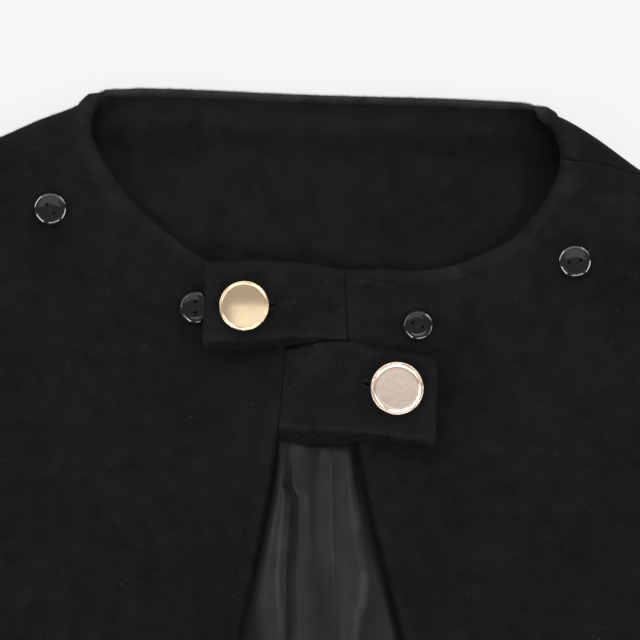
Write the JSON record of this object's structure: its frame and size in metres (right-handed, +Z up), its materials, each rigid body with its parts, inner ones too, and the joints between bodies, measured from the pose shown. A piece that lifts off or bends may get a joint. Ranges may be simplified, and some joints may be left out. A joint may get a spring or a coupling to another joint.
{
  "type": "wool cloak",
  "caption": "Collarless wool cloak laid flat on its back, its neck tabs buttoned across the open fronts over a satin back lining.",
  "frame": {"origin": "the middle of the laid cloak's outline, on the surface that it rests on", "axes": "+X towards the wearer's left side, +Y up the garment to its neck, +Z up from the surface"},
  "size_m": [1.04, 0.8576, 0.0212],
  "materials": {
    "wool": "matte brushed black wool",
    "satin": "soft satin, dark grey-blue",
    "gold_metal": "polished pale gold",
    "black_plastic": "gloss black"
  },
  "bodies": {
    "root": {"back_panel": "wool", "back_neck_facing": "wool", "back_lining": "satin", "right_front": "wool", "left_front": "wool", "upper_tab": "wool", "lower_tab": "wool", "upper_gold_button": "gold_metal", "lower_gold_button": "gold_metal", "collar_button_right_outer": "black_plastic", "collar_button_right_inner": "black_plastic", "collar_button_left_inner": "black_plastic", "collar_button_left_outer": "black_plastic"}
  },
  "joints": []
}
